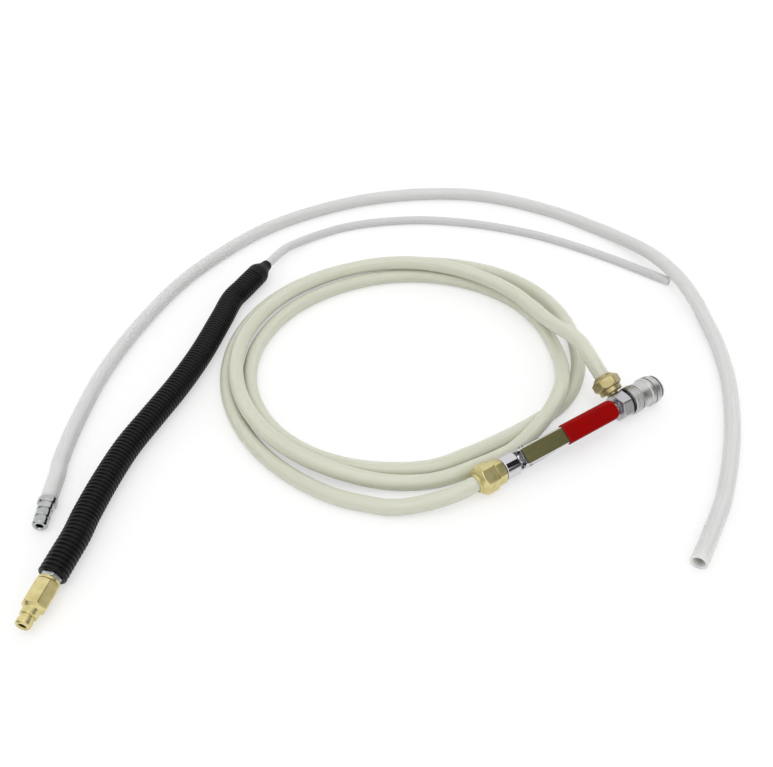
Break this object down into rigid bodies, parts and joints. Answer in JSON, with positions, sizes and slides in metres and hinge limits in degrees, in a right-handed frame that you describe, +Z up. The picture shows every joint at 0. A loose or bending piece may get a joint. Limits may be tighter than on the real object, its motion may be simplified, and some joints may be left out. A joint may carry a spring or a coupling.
{
  "type": "transmission fluid exchanger",
  "caption": "Transmission fluid exchanger: flip-lever valve with a tee and quick coupler, coiled hose, drain hose with a plug, and a dipstick probe in a corrugated sleeve.",
  "frame": {"origin": "on the surface that everything lies on, under the middle of the valve and coupler", "axes": "+X along the valve from its rear nut to the coupler's mouth, +Y towards the coiled hose, +Z up"},
  "size_m": [0.63, 0.5298, 0.0412],
  "materials": {
    "brass": "turned, satin",
    "chrome": "bright plated",
    "zinc": "zinc plated, satin",
    "steel": "plated, smooth",
    "red_vinyl": "dipped, glossy",
    "black_rubber": "smooth",
    "black_plastic": "satin",
    "clear_hose": "milky clear",
    "pale_hose": "milky, slightly yellow"
  },
  "bodies": {
    "valve_and_hoses": {"rear_nut": "brass", "rear_ferrule": "brass", "rear_fitting": "brass", "valve_body": "chrome", "gland_nut": "brass", "stem_seal": "black_rubber", "valve_spring": "steel", "outlet_pipe": "chrome", "coupler_body": "zinc", "coupler_ring": "black_rubber", "socket_seal": "black_rubber", "lock_ball_1": "steel", "lock_ball_2": "steel", "lock_ball_3": "steel", "lock_ball_4": "steel", "lock_ball_5": "steel", "lock_ball_6": "steel", "snap_ring": "steel", "sleeve_spring": "steel", "poppet_spring": "steel", "tee_fitting": "brass", "tee_nut": "brass", "tee_ferrule": "brass", "coil_hose": "pale_hose", "drain_hose": "clear_hose", "drain_plug": "chrome", "probe_plug": "brass", "probe_washer": "brass", "probe_lock_nut": "zinc", "ribbed_sleeve": "black_plastic", "sleeve_cap": "black_rubber", "filler_tube": "clear_hose"},
    "stem": {"valve_stem": "steel", "seat_pad": "black_rubber", "lever_pin": "steel"},
    "lever": {"lever": "steel", "lever_grip": "red_vinyl"},
    "sleeve": {"coupler_sleeve": "zinc"},
    "poppet": {"poppet": "brass"}
  },
  "joints": [
    {"name": "lever_flip", "type": "hinge", "parent": "stem", "child": "lever", "pos_m": [-0.04775, -0.01251, 0.01875], "axis": [0, -0.866, -0.5], "range_deg": [0, 90]},
    {"name": "stem_lift", "type": "slide", "parent": "valve_and_hoses", "child": "stem", "axis": [0, -0.5, 0.866], "range_m": [0, 0.001], "deforming": ["valve_spring"]},
    {"name": "sleeve_slide", "type": "slide", "parent": "valve_and_hoses", "child": "sleeve", "axis": [-1, 0, 0], "range_m": [0, 0.0024], "stiffness_N_per_m": 2000, "springref_m": -0.004, "deforming": ["sleeve_spring"]},
    {"name": "poppet_slide", "type": "slide", "parent": "valve_and_hoses", "child": "poppet", "axis": [-1, 0, 0], "range_m": [0, 0.0027], "stiffness_N_per_m": 600, "springref_m": -0.003, "deforming": ["poppet_spring"]}
  ],
  "couplings": [
    {"joint": "stem_lift", "follows": "lever_flip", "m_per_rad": 0.0006366}
  ]
}
